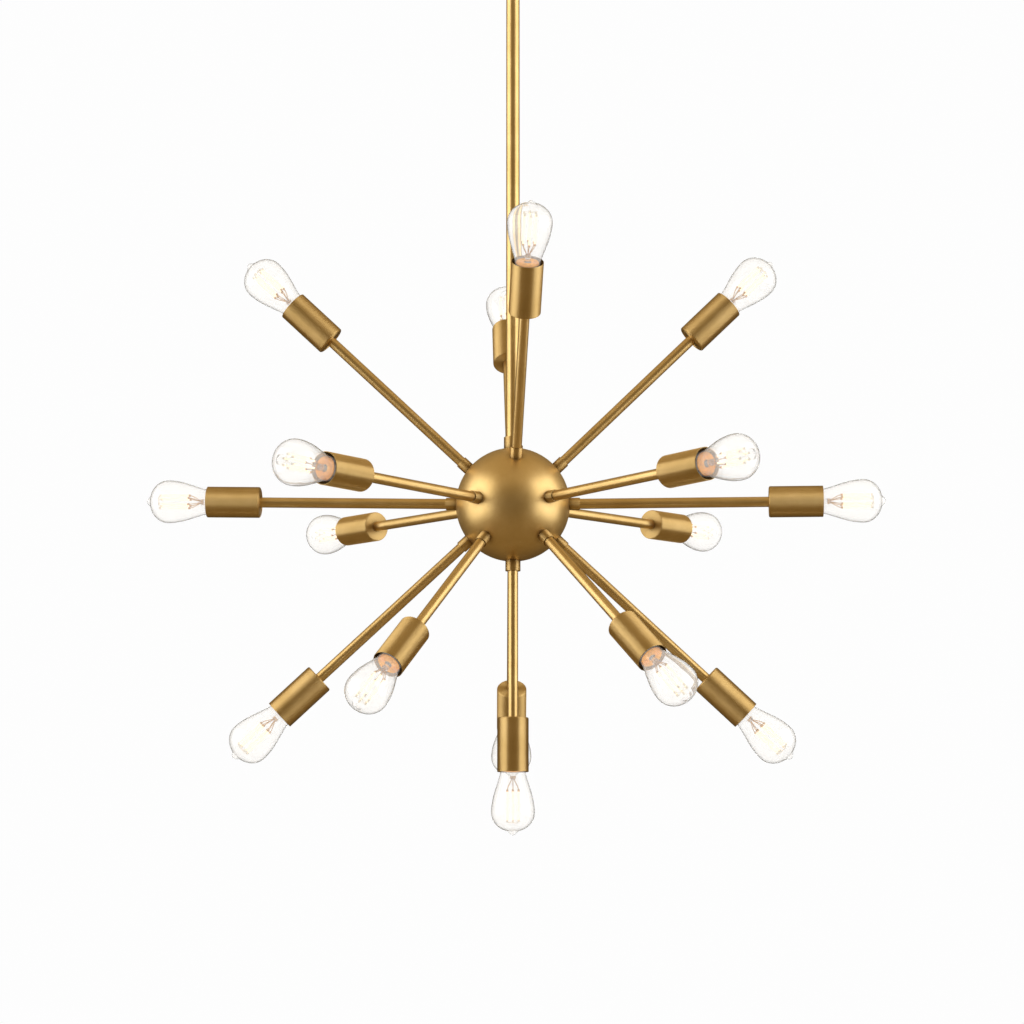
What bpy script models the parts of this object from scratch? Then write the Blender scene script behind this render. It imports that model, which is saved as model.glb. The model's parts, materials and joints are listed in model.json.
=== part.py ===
"""Sixteen-light ball chandelier on a rigid stem.

A hollow brass ball carries sixteen straight tube arms.  Each arm ends in a round lamp cup
with a lampholder and a screw-in pear lamp.  The ball hangs on a stem from a ball swivel
in the ceiling canopy.  Metres, +Z up, origin on the ceiling face of the mounting strap.
"""

import math
from dataclasses import dataclass

import bmesh
import bpy
from mathutils import Vector

CLEARANCE = 0.0003
SEGMENTS = 12

# Hub ball and stem
HUB_RADIUS = 0.0762
HUB_WALL = 0.0025
HUB_SEGMENTS = 26
HUB_DROP = 0.790
STEM_RADIUS = 0.0091
STEM_BORE_RADIUS = 0.0071
STEM_INSIDE_HUB = 0.014
STEM_COLLAR_RADIUS = 0.0120
STEM_COLLAR_LENGTH = 0.0145
STEM_NUT_RADIUS = 0.0150
STEM_NUT_LENGTH = 0.006

# Arm tubes and their collars at the hub
ARM_RADIUS = 0.0068
ARM_BORE_RADIUS = 0.0056
ARM_INSIDE_HUB = 0.010
ARM_COLLAR_RADIUS = 0.0082
BOTTOM_COLLAR_RADIUS = 0.0100
ARM_COLLAR_LENGTH = 0.0127

# Lamp cup with its lampholder
CUP_RADIUS = 0.0206
CUP_WALL = 0.0012
CUP_LENGTH = 0.0710
CUP_END_THICKNESS = 0.0020
CUP_EDGE_CHAMFER = 0.0020
ARM_INSIDE_CUP = 0.010
HOLDER_WALL = 0.0020
HOLDER_FLOOR = 0.0190
HOLDER_RIM_BELOW_SHOULDER = 0.0015

# Screw-in lamp
LAMP_BASE_RADIUS = 0.0130
LAMP_BASE_LENGTH = 0.0270
LAMP_CONTACT_RADIUS = 0.0060
LAMP_CONTACT_HEIGHT = 0.0030
LAMP_NECK_RADIUS = 0.0165
LAMP_RADIUS = 0.0285
LAMP_WIDEST_BEYOND_CUP = 0.0515
LAMP_BEYOND_CUP = 0.0825
LAMP_WALL = 0.0012
LAMP_BASE_WALL = 0.0030
LAMP_VENT_RADIUS = 0.0020
LAMP_FIT = 0.0005

# Ceiling canopy, strap and ball swivel
CANOPY_RADIUS = 0.0650
CANOPY_HEIGHT = 0.0250
CANOPY_WALL = 0.0015
CANOPY_EDGE = 0.0055
CANOPY_HOLE_RADIUS = 0.0170
CANOPY_SEGMENTS = 24
STRAP_LENGTH = 0.110
STRAP_WIDTH = 0.022
STRAP_THICKNESS = 0.0030
STUD_SPACING = 0.0890
STUD_RADIUS = 0.0020
STUD_LENGTH = 0.0270
NUT_RADIUS = 0.0050
NUT_LENGTH = 0.0080
BALL_RADIUS = 0.0150
BALL_BORE_RADIUS = 0.0040
BALL_BELOW_CANOPY = 0.0050
SEAT_RADIUS = 0.0220
SEAT_DEPTH = 0.0120
SEAT_OPENING_RADIUS = 0.0130

# Tier apexes: where the arm axes of a tier meet, measured from the hub centre
UPPER_APEX = -0.0070
LOWER_APEX = 0.0060

# Reach of each arm family, from its apex to the closed end of its cup
REACH_MIDDLE_SIDE = 0.338
REACH_MIDDLE_FRONT = 0.304
REACH_MIDDLE_BACK = 0.297
REACH_UPPER_SIDE = 0.3325
REACH_UPPER_CROSS = 0.285
REACH_LOWER_SIDE = 0.347
REACH_LOWER_FRONT = 0.271
REACH_LOWER_BACK = 0.317
REACH_BOTTOM = 0.282


@dataclass(frozen=True)
class Arm:
    """One arm: its name, direction in degrees, reach, apex height above the hub centre and collar."""

    name: str
    azimuth: float
    elevation: float
    reach: float
    apex: float = 0.0
    collar_radius: float = ARM_COLLAR_RADIUS

    @property
    def direction(self):
        """Unit vector from the apex towards the lamp."""
        azimuth = math.radians(self.azimuth)
        elevation = math.radians(self.elevation)
        flat = math.cos(elevation)
        return Vector((flat * math.cos(azimuth), flat * math.sin(azimuth), math.sin(elevation)))

    @property
    def start(self):
        """The apex, in world coordinates."""
        return Vector((0.0, 0.0, self.apex - HUB_DROP))

    def distance_on_hub(self, ball_radius, ring_radius):
        """How far along the arm a ring of ring_radius just clears a ball of ball_radius."""
        along = self.apex * self.direction.z
        offset = abs(self.apex) * math.cos(math.radians(self.elevation))
        return math.sqrt(ball_radius**2 - (ring_radius - offset)**2) - along


ARMS = (
    Arm("upper_left", 181.5, 43, REACH_UPPER_SIDE, UPPER_APEX),
    Arm("upper_right", 1, 44, REACH_UPPER_SIDE, UPPER_APEX),
    Arm("upper_front", -85, 53, REACH_UPPER_CROSS, UPPER_APEX),
    Arm("upper_back", 92.5, 54.5, REACH_UPPER_CROSS, UPPER_APEX),
    Arm("middle_left", 176.5, 1, REACH_MIDDLE_SIDE),
    Arm("middle_right", -4, 0, REACH_MIDDLE_SIDE),
    Arm("middle_front_left", -127.5, 0, REACH_MIDDLE_FRONT),
    Arm("middle_front_right", -51, 1, REACH_MIDDLE_FRONT),
    Arm("middle_back_left", 130.5, 0.5, REACH_MIDDLE_BACK),
    Arm("middle_back_right", 49, 1, REACH_MIDDLE_BACK),
    Arm("lower_left", 180.5, -43, REACH_LOWER_SIDE, LOWER_APEX),
    Arm("lower_right", 1, -43, REACH_LOWER_SIDE, LOWER_APEX),
    Arm("lower_front_left", -128.5, -43.5, REACH_LOWER_FRONT, LOWER_APEX),
    Arm("lower_front_right", -47.5, -41.5, REACH_LOWER_FRONT, LOWER_APEX),
    Arm("lower_back", 90.5, -47.5, REACH_LOWER_BACK, LOWER_APEX),
    Arm("bottom", 0, -90, REACH_BOTTOM, collar_radius=BOTTOM_COLLAR_RADIUS),
)


def clear_scene():
    """Remove every object, so that the script starts from an empty scene."""
    for item in list(bpy.data.objects):
        bpy.data.objects.remove(item, do_unlink=True)


def material(name, colour, roughness, metallic, transmission=0.0):
    """A Principled material."""
    result = bpy.data.materials.new(name)
    result.use_nodes = True
    shader = result.node_tree.nodes["Principled BSDF"]
    shader.inputs["Base Color"].default_value = (*colour, 1.0)
    shader.inputs["Roughness"].default_value = roughness
    shader.inputs["Metallic"].default_value = metallic
    shader.inputs["Transmission Weight"].default_value = transmission
    return result


def turned_mesh(name, outline, segments, first_angle=0.0):
    """Turn an outline of (radius, height) points about Z.

    An outline that starts and ends on the axis makes a full body, and any other outline
    is closed on itself and makes a ring.
    """
    mesh = bmesh.new()
    angles = [first_angle + math.tau * index / segments for index in range(segments)]
    rings = []
    for radius, height in outline:
        if radius == 0.0:
            rings.append([mesh.verts.new((0.0, 0.0, height))])
            continue
        rings.append([mesh.verts.new((radius * math.cos(a), radius * math.sin(a), height)) for a in angles])
    closed = len(rings[0]) > 1
    pairs = list(zip(rings, rings[1:] + rings[:1])) if closed else list(zip(rings, rings[1:]))
    for near, far in pairs:
        for index in range(segments):
            following = (index + 1) % segments
            corners = [near[index % len(near)], near[following % len(near)]]
            corners += [far[following % len(far)], far[index % len(far)]]
            mesh.faces.new(list(dict.fromkeys(corners)))
    bmesh.ops.recalc_face_normals(mesh, faces=mesh.faces)
    return finished(name, mesh)


def finished(name, mesh):
    """Write a bmesh to new mesh data, shaded smooth except on its sharp edges."""
    data = bpy.data.meshes.new(name)
    mesh.to_mesh(data)
    mesh.free()
    data.shade_smooth()
    data.set_sharp_from_angle(angle=math.radians(35))
    return data


def add_object(name, data, finish, location=(0.0, 0.0, 0.0), direction=(0.0, 0.0, 1.0)):
    """Link a named object with its material, its local Z along direction."""
    item = bpy.data.objects.new(name, data)
    if not data.materials:
        data.materials.append(finish)
    item.location = location
    item.rotation_mode = "QUATERNION"
    item.rotation_quaternion = Vector(direction).to_track_quat("Z", "Y")
    bpy.context.scene.collection.objects.link(item)
    return item


def cut_away(item, cutter):
    """Cut the cutter out of item and hide the cutter."""
    cutter.hide_render = True
    cutter.display_type = "WIRE"
    cut = item.modifiers.new(cutter.name, "BOOLEAN")
    cut.operation = "DIFFERENCE"
    cut.solver = "EXACT"
    cut.object = cutter


def ball_mesh(name, radius, segments):
    """A closed ball with its poles on Z."""
    mesh = bmesh.new()
    bmesh.ops.create_uvsphere(mesh, u_segments=segments, v_segments=segments // 2, radius=radius)
    return finished(name, mesh)


def build_hub(brass):
    """The hollow ball, with a hole for the stem and one for each arm."""
    centre = (0.0, 0.0, -HUB_DROP)
    hub = add_object("hub_shell", ball_mesh("hub_shell", HUB_RADIUS, HUB_SEGMENTS), brass, centre)
    inside = ball_mesh("hub_hollow", HUB_RADIUS - HUB_WALL, HUB_SEGMENTS)
    cut_away(hub, add_object("cut_hub_hollow", inside, brass, centre))
    arm_drill = rod_mesh("arm_drill", ARM_RADIUS + CLEARANCE, HUB_RADIUS / 2, HUB_RADIUS * 1.2)
    for arm in ARMS:
        cut_away(hub, add_object("cut_" + arm.name, arm_drill, brass, arm.start, arm.direction))
    stem_drill = rod_mesh("stem_drill", STEM_RADIUS + CLEARANCE, HUB_RADIUS / 2, HUB_RADIUS * 1.2)
    cut_away(hub, add_object("cut_stem", stem_drill, brass, centre))


def rod_mesh(name, radius, bottom, top):
    """A plain round rod between two heights."""
    return turned_mesh(name, [(0.0, bottom), (radius, bottom), (radius, top), (0.0, top)], SEGMENTS)


def tube_mesh(name, radius, bore_radius, bottom, top):
    """A plain tube between two heights."""
    outline = [(bore_radius, bottom), (radius, bottom), (radius, top), (bore_radius, top)]
    return turned_mesh(name, outline, SEGMENTS)


def build_stem(brass, steel):
    """The stem tube, its collar on the ball and its nut inside the ball."""
    ball_top = math.sqrt((HUB_RADIUS + CLEARANCE)**2 - (STEM_RADIUS + CLEARANCE)**2)
    seat = ball_top - HUB_DROP
    stem_bottom = HUB_RADIUS - STEM_INSIDE_HUB - HUB_DROP
    outline = [
        (STEM_BORE_RADIUS, stem_bottom),
        (STEM_RADIUS, stem_bottom),
        (STEM_RADIUS, swivel_height() - below_swivel(STEM_RADIUS)),
        (STEM_BORE_RADIUS, swivel_height() - below_swivel(STEM_BORE_RADIUS)),
    ]
    add_object("stem_tube", turned_mesh("stem_tube", outline, SEGMENTS), brass)
    fit = STEM_RADIUS + CLEARANCE
    collar = tube_mesh("stem_collar", STEM_COLLAR_RADIUS, fit, seat, seat + STEM_COLLAR_LENGTH)
    add_object("stem_collar", collar, brass)
    facet = math.cos(math.pi / HUB_SEGMENTS)**2
    nut_top = math.sqrt(((HUB_RADIUS - HUB_WALL) * facet)**2 - STEM_NUT_RADIUS**2) - CLEARANCE - HUB_DROP
    nut = tube_mesh("stem_nut", STEM_NUT_RADIUS, fit, nut_top - STEM_NUT_LENGTH, nut_top)
    add_object("stem_nut", nut, steel)


def cup_mesh():
    """The lamp cup with its lampholder, closed end at height zero, mouth at CUP_LENGTH."""
    inner = CUP_RADIUS - CUP_WALL
    socket = LAMP_BASE_RADIUS + LAMP_FIT
    hole = ARM_RADIUS + CLEARANCE
    holder_rim = HOLDER_FLOOR + LAMP_FIT + LAMP_BASE_LENGTH - HOLDER_RIM_BELOW_SHOULDER
    outline = [
        (0.0, HOLDER_FLOOR),
        (socket, HOLDER_FLOOR),
        (socket, holder_rim),
        (socket + HOLDER_WALL, holder_rim),
        (socket + HOLDER_WALL, CUP_END_THICKNESS),
        (inner, CUP_END_THICKNESS),
        (inner, CUP_LENGTH),
        (CUP_RADIUS, CUP_LENGTH),
        (CUP_RADIUS, CUP_EDGE_CHAMFER),
        (CUP_RADIUS - CUP_EDGE_CHAMFER, 0.0),
        (hole, 0.0),
        (hole, ARM_INSIDE_CUP + CLEARANCE),
        (0.0, ARM_INSIDE_CUP + CLEARANCE),
    ]
    return turned_mesh("lamp_cup", outline, SEGMENTS)


def pear_outline(shoulder, wall):
    """Heights and radii of the lamp's glass from shoulder to tip, shrunk by a wall."""
    widest = CUP_LENGTH + LAMP_WIDEST_BEYOND_CUP
    tip = CUP_LENGTH + LAMP_BEYOND_CUP - wall
    outline = [(LAMP_BASE_RADIUS - wall, shoulder), (LAMP_NECK_RADIUS - wall, CUP_LENGTH)]
    flare = 3
    for step in range(1, flare + 1):
        share = step / flare
        swell = math.sin(share * math.pi / 2)**1.3
        radius = LAMP_NECK_RADIUS + (LAMP_RADIUS - LAMP_NECK_RADIUS) * swell - wall
        outline.append((radius, CUP_LENGTH + LAMP_WIDEST_BEYOND_CUP * share))
    crown = 3
    for step in range(1, crown):
        turn = math.pi / 2 * step / crown
        outline.append(((LAMP_RADIUS - wall) * math.cos(turn), widest + (tip - widest) * math.sin(turn)))
    outline.append((0.0, tip))
    return outline


def lamp_mesh():
    """The hollow lamp: screw base with its vent, neck and pear glass, in the cup's own heights."""
    base = HOLDER_FLOOR + LAMP_FIT
    shoulder = base + LAMP_BASE_LENGTH
    outline = pear_outline(shoulder, LAMP_WALL)[:0:-1]
    outline += [
        (LAMP_BASE_RADIUS - LAMP_BASE_WALL, base + LAMP_BASE_WALL + LAMP_CONTACT_HEIGHT),
        (LAMP_VENT_RADIUS, base + LAMP_BASE_WALL),
        (LAMP_VENT_RADIUS, base),
        (LAMP_CONTACT_RADIUS, base),
        (LAMP_BASE_RADIUS, base + LAMP_CONTACT_HEIGHT),
    ]
    outline += pear_outline(shoulder, 0.0)
    return turned_mesh("lamp", outline, SEGMENTS)


def arm_mesh(arm):
    """The arm tube with its collar, measured from the arm's apex."""
    seat = arm.distance_on_hub(HUB_RADIUS + CLEARANCE, ARM_RADIUS)
    outline = [
        (ARM_BORE_RADIUS, seat - ARM_INSIDE_HUB),
        (ARM_RADIUS, seat - ARM_INSIDE_HUB),
        (ARM_RADIUS, seat),
        (arm.collar_radius, seat),
        (arm.collar_radius, seat + ARM_COLLAR_LENGTH),
        (ARM_RADIUS, seat + ARM_COLLAR_LENGTH),
        (ARM_RADIUS, arm.reach + ARM_INSIDE_CUP),
        (ARM_BORE_RADIUS, arm.reach + ARM_INSIDE_CUP),
    ]
    return turned_mesh("arm_" + arm.name, outline, SEGMENTS)


def build_arms(brass, glass):
    """Every arm with its cup and its lamp, all on the arm's own axis."""
    cup = cup_mesh()
    lamp = lamp_mesh()
    for arm in ARMS:
        end = arm.start + arm.direction * arm.reach
        add_object("arm_" + arm.name, arm_mesh(arm), brass, arm.start, arm.direction)
        add_object("cup_" + arm.name, cup, brass, end, arm.direction)
        add_object("lamp_" + arm.name, lamp, glass, end, arm.direction)


def swivel_height():
    """Height of the swivel ball's centre, which both tilt axes pass through."""
    return -CANOPY_HEIGHT - BALL_BELOW_CANOPY


def below_swivel(radius):
    """How far below the swivel ball's centre a ring of that radius just clears the ball."""
    return math.sqrt((BALL_RADIUS + CLEARANCE)**2 - radius**2)


def build_canopy(brass, steel):
    """The canopy dish, its strap, studs and cap nuts."""
    floor = -CANOPY_HEIGHT
    inner = CANOPY_RADIUS - CANOPY_WALL
    outline = [
        (CANOPY_HOLE_RADIUS, floor),
        (CANOPY_RADIUS - CANOPY_EDGE, floor),
        (CANOPY_RADIUS, floor + CANOPY_EDGE),
        (CANOPY_RADIUS, 0.0),
        (inner, 0.0),
        (inner, floor + CANOPY_EDGE + CANOPY_WALL / 2),
        (inner - CANOPY_EDGE + CANOPY_WALL / 2, floor + CANOPY_WALL),
        (CANOPY_HOLE_RADIUS, floor + CANOPY_WALL),
    ]
    half_segment = math.pi / CANOPY_SEGMENTS
    dish = turned_mesh("canopy", outline, CANOPY_SEGMENTS, half_segment)
    canopy = add_object("canopy", dish, brass)
    mesh = bmesh.new()
    bmesh.ops.create_cube(mesh, size=1.0)
    bmesh.ops.scale(mesh, vec=(STRAP_LENGTH, STRAP_WIDTH, STRAP_THICKNESS), verts=mesh.verts)
    bmesh.ops.translate(mesh, vec=(0.0, 0.0, -STRAP_THICKNESS / 2), verts=mesh.verts)
    strap = add_object("ceiling_strap", finished("ceiling_strap", mesh), steel)
    stud = rod_mesh("canopy_stud", STUD_RADIUS, -STUD_LENGTH, 0.0)
    drill = rod_mesh("stud_drill", STUD_RADIUS + CLEARANCE, -2 * CANOPY_HEIGHT, CANOPY_HEIGHT)
    for side, name in ((-1, "left"), (1, "right")):
        place = (side * STUD_SPACING / 2, 0.0, 0.0)
        add_object("canopy_stud_" + name, stud, steel, place)
        add_object("canopy_nut_" + name, nut_mesh(), brass, place)
        hole = add_object("cut_stud_" + name, drill, steel, place)
        cut_away(canopy, hole)
        cut_away(strap, hole)


def nut_mesh():
    """A round cap nut on the end of a stud, under the canopy."""
    top = -CANOPY_HEIGHT - CLEARANCE
    fit = STUD_RADIUS + CLEARANCE
    bottom = top - NUT_LENGTH
    blind = -STUD_LENGTH - CLEARANCE
    outline = [(0.0, blind), (fit, blind), (fit, top), (NUT_RADIUS, top)]
    outline += [(NUT_RADIUS, bottom + NUT_RADIUS / 2), (NUT_RADIUS / 2, bottom), (0.0, bottom)]
    return turned_mesh("canopy_nut", outline, SEGMENTS)


def build_swivel(brass, steel):
    """The swivel ball and the seat ring under the canopy that it hangs in."""
    centre = swivel_height()
    seat_ball = BALL_RADIUS + CLEARANCE
    top = BALL_BELOW_CANOPY - CLEARANCE
    outline = [
        (SEAT_OPENING_RADIUS, -SEAT_DEPTH),
        (SEAT_RADIUS - CANOPY_WALL, -SEAT_DEPTH),
        (SEAT_RADIUS, CANOPY_WALL - SEAT_DEPTH),
        (SEAT_RADIUS, top),
        (seat_ball, top),
    ]
    steps = 4
    lip = math.acos(SEAT_OPENING_RADIUS / seat_ball)
    turns = [lip * step / steps for step in range(steps + 1)]
    outline += [(seat_ball * math.cos(turn), -seat_ball * math.sin(turn)) for turn in turns]
    add_object("swivel_seat", turned_mesh("swivel_seat", outline, SEGMENTS * 2), brass, (0.0, 0.0, centre))
    arc = 8
    limit = math.acos(BALL_BORE_RADIUS / BALL_RADIUS)
    turns = [limit * (1 - 2 * step / arc) for step in range(arc + 1)]
    outline = [(BALL_RADIUS * math.cos(turn), BALL_RADIUS * math.sin(turn)) for turn in turns]
    add_object("swivel_ball", turned_mesh("swivel_ball", outline, SEGMENTS * 2), steel, (0.0, 0.0, centre))


def main():
    """Build the chandelier from the ceiling down."""
    clear_scene()
    brass = material("satin_brass", (0.60, 0.40, 0.17), 0.32, 1.0)
    steel = material("plated_steel", (0.55, 0.55, 0.54), 0.35, 1.0)
    glass = material("clear_glass", (0.95, 0.95, 0.94), 0.03, 0.0, 0.95)
    build_canopy(brass, steel)
    build_swivel(brass, steel)
    build_stem(brass, steel)
    build_hub(brass)
    build_arms(brass, glass)


main()
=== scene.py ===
"""Looks of a sixteen-light ball chandelier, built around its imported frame.

Every finished piece takes its place and size from the frame: the arms' axes from the
joints that unscrew the lamps, and radii and heights from the nodes they stand for.
"""

import json
import logging
import math
from dataclasses import dataclass, field
from enum import Enum
from typing import Sequence

import bpy
import numpy as np
from mathutils import Matrix, Vector


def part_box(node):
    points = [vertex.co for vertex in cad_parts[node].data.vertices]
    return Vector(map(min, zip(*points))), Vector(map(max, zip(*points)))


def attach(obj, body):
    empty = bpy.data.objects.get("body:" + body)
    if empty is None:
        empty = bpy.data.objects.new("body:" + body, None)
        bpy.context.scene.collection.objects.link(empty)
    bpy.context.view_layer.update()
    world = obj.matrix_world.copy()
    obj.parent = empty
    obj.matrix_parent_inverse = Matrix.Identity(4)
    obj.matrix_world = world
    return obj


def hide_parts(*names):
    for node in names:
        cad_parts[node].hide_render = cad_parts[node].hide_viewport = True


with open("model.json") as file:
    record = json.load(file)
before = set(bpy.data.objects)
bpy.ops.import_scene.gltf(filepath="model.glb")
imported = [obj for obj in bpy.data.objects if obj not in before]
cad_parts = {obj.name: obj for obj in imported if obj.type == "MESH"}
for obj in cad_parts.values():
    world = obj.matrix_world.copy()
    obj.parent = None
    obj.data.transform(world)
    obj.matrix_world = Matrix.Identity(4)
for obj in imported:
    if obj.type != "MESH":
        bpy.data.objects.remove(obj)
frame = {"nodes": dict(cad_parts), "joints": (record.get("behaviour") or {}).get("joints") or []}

Outline = list[tuple[float, float]]

LOG = logging.getLogger("chandelier")
PENDANT = "pendant"
TURNED_MAP = "turned"
MERGE = 1e-6
METRES_TO_MAP = 10.0
ARM_WALL = 0.0012
STEM_WALL = 0.0018
COLLAR_SUNK = 0.0022
COLLAR_EDGE = 0.0003


class Grain(Enum):
    """How a brass piece was rubbed down."""

    TURNED = "turned"
    DRAWN = "drawn"
    PLAIN = "plain"


class Shade(Enum):
    """Height bands of the dim room that the brass mirrors."""

    FLOOR = 0.20
    HORIZON = 0.50
    CEILING = 0.85


# ---------------------------------------------------------------- materials


@dataclass
class Recipe:
    """A node tree in the making, around one Principled shader.

    Attributes:
        name: The material's name.
    """

    name: str
    material: bpy.types.Material = field(init=False)

    def __post_init__(self) -> None:
        """Make the material with its shader."""
        self.material = bpy.data.materials.new(self.name)
        self.material.use_nodes = True
        self.tree = self.material.node_tree
        self.shader = self.tree.nodes["Principled BSDF"]

    def node(self, kind: str, **settings: object) -> bpy.types.Node:
        """Add a node and set its properties.

        Args:
            kind: The node's Blender type.
            settings: Property names and their values.

        Returns:
            The new node.
        """
        item = self.tree.nodes.new(kind)
        for key, value in settings.items():
            setattr(item, key, value)
        return item

    def link(self, source: bpy.types.NodeSocket, target: bpy.types.NodeSocket) -> None:
        """Join two sockets."""
        self.tree.links.new(source, target)

    def fix(self, **values: object) -> None:
        """Set the shader's own sockets; underscores stand for blanks."""
        for key, value in values.items():
            self.shader.inputs[key.replace("_", " ")].default_value = value

    def noise(self, scale: float, detail: float, stretch: Sequence[float] = (1, 1, 1),
              uv: bool = False, roughness: float = 0.55) -> bpy.types.NodeSocket:
        """A noise pattern on the object or on the turned map.

        Args:
            scale: Cells per metre, or per map unit.
            detail: Octaves of finer noise.
            stretch: Scale of each axis before the noise.
            uv: True to follow the turned map.
            roughness: How strong the finer octaves are.

        Returns:
            The noise value's socket, from 0 to 1.
        """
        if uv:
            where = self.node("ShaderNodeUVMap", uv_map=TURNED_MAP).outputs["UV"]
        else:
            where = self.node("ShaderNodeTexCoord").outputs["Object"]
        mapping = self.node("ShaderNodeMapping")
        mapping.inputs["Scale"].default_value = stretch
        pattern = self.node("ShaderNodeTexNoise")
        pattern.inputs["Scale"].default_value = scale
        pattern.inputs["Detail"].default_value = detail
        pattern.inputs["Roughness"].default_value = roughness
        self.link(where, mapping.inputs["Vector"])
        self.link(mapping.outputs["Vector"], pattern.inputs["Vector"])
        return pattern.outputs["Fac"]

    def ranged(self, value: bpy.types.NodeSocket, low: float, high: float,
               start: float = 0.3, end: float = 0.7) -> bpy.types.NodeSocket:
        """Map a value from start..end to low..high."""
        item = self.node("ShaderNodeMapRange")
        item.inputs["From Min"].default_value = start
        item.inputs["From Max"].default_value = end
        item.inputs["To Min"].default_value = low
        item.inputs["To Max"].default_value = high
        self.link(value, item.inputs["Value"])
        return item.outputs["Result"]

    def blended(self, share: bpy.types.NodeSocket, first: Sequence[float],
                second: Sequence[float]) -> bpy.types.NodeSocket:
        """Mix two colours by a share."""
        ramp = self.node("ShaderNodeValToRGB")
        ramp.color_ramp.elements[0].color = (*first, 1.0)
        ramp.color_ramp.elements[1].color = (*second, 1.0)
        self.link(share, ramp.inputs["Fac"])
        return ramp.outputs["Color"]

    def shaded_in_corners(self, colour: bpy.types.NodeSocket, shade_colour: Sequence[float],
               reach: float = 0.010) -> bpy.types.NodeSocket:
        """Darken a colour in corners, where cloths don't reach.

        Args:
            colour: The unshaded colour's socket.
            shade_colour: The colour of the painted shade deep in a corner.
            reach: How far out of the corner it goes, in metres.

        Returns:
            The new colour's socket.
        """
        # Painted shade: ambient occlusion darkens the colour near other parts, standing in for their
        # contact shadow.
        corner = self.node("ShaderNodeAmbientOcclusion", samples=6)
        corner.inputs["Distance"].default_value = reach
        mix = self.node("ShaderNodeMix", data_type="RGBA")
        mix.inputs["A"].default_value = (*shade_colour, 1.0)
        self.link(self.ranged(corner.outputs["AO"], 0.0, 1.0, 0.38, 0.92), mix.inputs["Factor"])
        self.link(colour, mix.inputs["B"])
        return mix.outputs["Result"]

    def bump(self, height: bpy.types.NodeSocket, depth: float, strength: float,
             below: bpy.types.NodeSocket | None = None) -> bpy.types.NodeSocket:
        """Raise the surface by a pattern.

        Args:
            height: The pattern, from 0 to 1.
            depth: Its height in metres.
            strength: How much of it shows.
            below: The normal to start from.

        Returns:
            The new normal's socket.
        """
        item = self.node("ShaderNodeBump")
        item.inputs["Distance"].default_value = depth
        item.inputs["Strength"].default_value = strength
        self.link(height, item.inputs["Height"])
        if below is not None:
            self.link(below, item.inputs["Normal"])
        return item.outputs["Normal"]


@dataclass(frozen=True)
class SatinBrass:
    """Lightly aged brass, rubbed down while it turns, or drawn along its length.

    Attributes:
        grain: How it was rubbed down.
        light: Colour of the freshly rubbed metal.
        aged: Colour where it has browned.
        corner_shade: Colour of the painted shade in its corners, where parts meet.
        roughness: Mean roughness.
        anisotropy: How far highlights stretch across the grain of turned brass.
    """

    grain: Grain = Grain.TURNED
    light: tuple[float, float, float] = (0.74, 0.54, 0.24)
    aged: tuple[float, float, float] = (0.64, 0.45, 0.18)
    # Colour of the painted shade in corners where parts meet.
    corner_shade: tuple[float, float, float] = (0.16, 0.09, 0.03)
    roughness: float = 0.49
    anisotropy: float = 0.92

    def material(self) -> bpy.types.Material:
        """Build the finish.

        Returns:
            The material.
        """
        recipe = Recipe(f"satin_brass_{self.grain.value}")
        recipe.fix(Metallic=1.0, IOR=1.45)
        blotches = recipe.noise(scale=26.0, detail=4.0)
        specks = recipe.noise(scale=900.0, detail=2.0)
        metal = recipe.blended(recipe.ranged(blotches, 0.0, 1.0), self.light, self.aged)
        # Turned and plain brass get painted shade in their corners; drawn tubes don't.
        if self.grain is not Grain.DRAWN:
            metal = recipe.shaded_in_corners(metal, self.corner_shade)
        recipe.link(metal, recipe.shader.inputs["Base Color"])
        if self.grain is Grain.PLAIN:
            rough = recipe.ranged(specks, self.roughness - 0.03, self.roughness + 0.05)
            recipe.link(recipe.bump(specks, 0.00001, 0.10), recipe.shader.inputs["Normal"])
        else:
            turned = self.grain is Grain.TURNED
            across = (220.0, 3.0, 1.0) if turned else (2.0, 24.0, 1.0)
            lines = recipe.noise(scale=1.0, detail=3.0, stretch=across, uv=True)
            rough = recipe.ranged(lines, self.roughness - 0.04, self.roughness + 0.05)
            if turned:
                recipe.link(recipe.bump(lines, 0.00001, 0.25), recipe.shader.inputs["Normal"])
                recipe.fix(Anisotropic=self.anisotropy)
                tangent = recipe.node("ShaderNodeTangent", direction_type="UV_MAP", uv_map=TURNED_MAP)
                recipe.link(tangent.outputs["Tangent"], recipe.shader.inputs["Tangent"])
        recipe.link(rough, recipe.shader.inputs["Roughness"])
        return recipe.material


@dataclass(frozen=True)
class LitMetal:
    """Warm metal inside a lamp, lit from so near that it glows a little.

    Attributes:
        name: The material's name.
        bright: Its colour where it is clean.
        tarnished: Its colour where it is tarnished.
        glow: How much light it throws back.
    """

    name: str
    bright: tuple[float, float, float]
    tarnished: tuple[float, float, float]
    glow: float

    def material(self) -> bpy.types.Material:
        """Build the finish."""
        recipe = Recipe(self.name)
        stain = recipe.noise(scale=420.0, detail=3.0)
        colour = recipe.blended(recipe.ranged(stain, 0.0, 1.0), self.bright, self.tarnished)
        recipe.link(colour, recipe.shader.inputs["Base Color"])
        recipe.link(colour, recipe.shader.inputs["Emission Color"])
        recipe.fix(Metallic=1.0, Emission_Strength=self.glow)
        recipe.link(recipe.ranged(stain, 0.25, 0.45), recipe.shader.inputs["Roughness"])
        return recipe.material


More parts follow.
